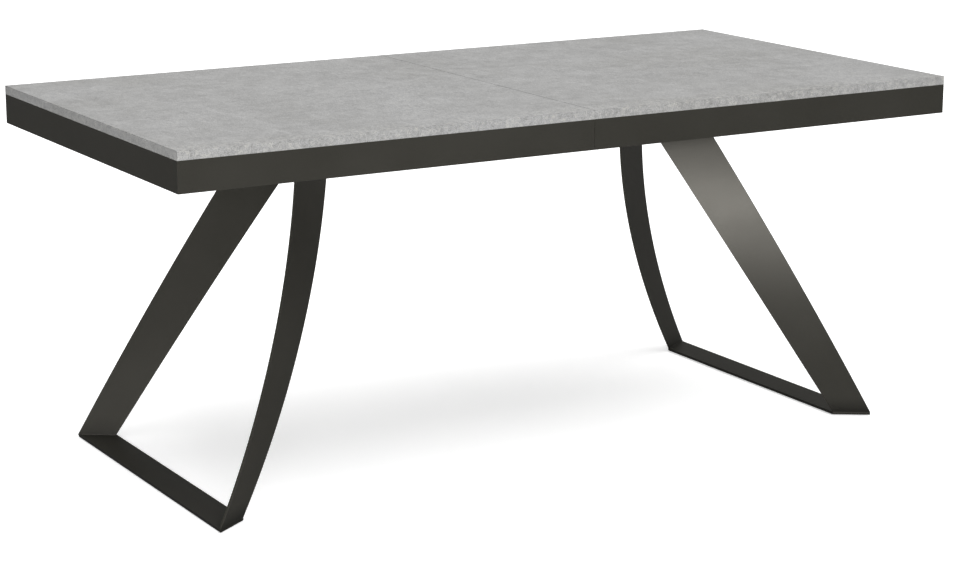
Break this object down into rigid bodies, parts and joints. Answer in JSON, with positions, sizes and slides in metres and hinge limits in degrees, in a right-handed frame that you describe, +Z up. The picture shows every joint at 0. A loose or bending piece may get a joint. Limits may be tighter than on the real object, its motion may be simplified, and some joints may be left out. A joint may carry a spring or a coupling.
{
  "type": "extendable dining table",
  "caption": "Rectangular dining table with a concrete-effect top, dark apron and curved blade legs, whose two halves slide apart on telescopic rails to make room for stored leaves.",
  "frame": {"origin": "on the floor under the middle of the closed table", "axes": "+X along the table's length to the right, +Y across its width to the back, +Z up"},
  "size_m": [1.8, 0.9, 0.77],
  "materials": {
    "concrete_laminate": "matt concrete-effect laminate on particle board",
    "edge_band": "matt concrete-effect edge band",
    "anthracite_paint": "satin anthracite powder coat",
    "bare_aluminium": "extruded, natural",
    "zinc_steel": "zinc plated",
    "white_nylon": "moulded nylon",
    "black_nylon": "moulded nylon",
    "grey_felt": "pressed felt",
    "black_rubber": "matt rubber",
    "beech_dowel": "plain beech"
  },
  "bodies": {
    "left_half": {"left_top_panel": "concrete_laminate", "left_edge_band": "edge_band", "left_front_apron": "anthracite_paint", "left_rear_apron": "anthracite_paint", "left_end_apron": "anthracite_paint", "left_corner_brackets": "zinc_steel", "left_front_rail": "bare_aluminium", "left_rear_rail": "bare_aluminium", "left_rail_glides": "white_nylon", "left_travel_stops": "zinc_steel", "left_cross_members": "anthracite_paint", "left_leg_plate": "anthracite_paint", "left_front_blade": "anthracite_paint", "left_rear_blade": "anthracite_paint", "left_floor_bar": "anthracite_paint", "left_floor_pads": "black_nylon", "left_frame_bolts": "zinc_steel", "left_panel_screws": "zinc_steel", "seam_dowels": "beech_dowel", "lock_guides": "zinc_steel"},
    "right_half": {"right_top_panel": "concrete_laminate", "right_edge_band": "edge_band", "right_front_apron": "anthracite_paint", "right_rear_apron": "anthracite_paint", "right_end_apron": "anthracite_paint", "right_corner_brackets": "zinc_steel", "right_front_rail": "bare_aluminium", "right_rear_rail": "bare_aluminium", "right_rail_glides": "white_nylon", "right_travel_stops": "zinc_steel", "right_cross_members": "anthracite_paint", "right_leg_plate": "anthracite_paint", "right_front_blade": "anthracite_paint", "right_rear_blade": "anthracite_paint", "right_floor_bar": "anthracite_paint", "right_floor_pads": "black_nylon", "right_frame_bolts": "zinc_steel", "right_panel_screws": "zinc_steel", "lock_keepers": "zinc_steel"},
    "carriage": {"front_beam": "bare_aluminium", "rear_beam": "bare_aluminium", "beam_shoes": "white_nylon", "left_cross_bar": "zinc_steel", "middle_cross_bar": "zinc_steel", "right_cross_bar": "zinc_steel", "cross_bar_screws": "zinc_steel", "cross_bar_felts": "grey_felt", "leaf_pads": "black_rubber", "lower_leaf": "concrete_laminate", "upper_leaf": "concrete_laminate", "leaf_edge_bands": "edge_band", "leaf_dowels": "beech_dowel", "leaf_spacers": "grey_felt"},
    "front_lock": {"front_lock_bolt": "zinc_steel"},
    "rear_lock": {"rear_lock_bolt": "zinc_steel"}
  },
  "joints": [
    {"name": "carriage_slide", "type": "slide", "parent": "left_half", "child": "carriage", "axis": [1, 0, 0], "range_m": [0, 0.52]},
    {"name": "right_half_slide", "type": "slide", "parent": "carriage", "child": "right_half", "axis": [1, 0, 0], "range_m": [0, 0.52]},
    {"name": "front_lock_slide", "type": "slide", "parent": "left_half", "child": "front_lock", "axis": [1, 0, 0], "range_m": [0, 0.028]},
    {"name": "rear_lock_slide", "type": "slide", "parent": "left_half", "child": "rear_lock", "axis": [1, 0, 0], "range_m": [0, 0.028]}
  ]
}
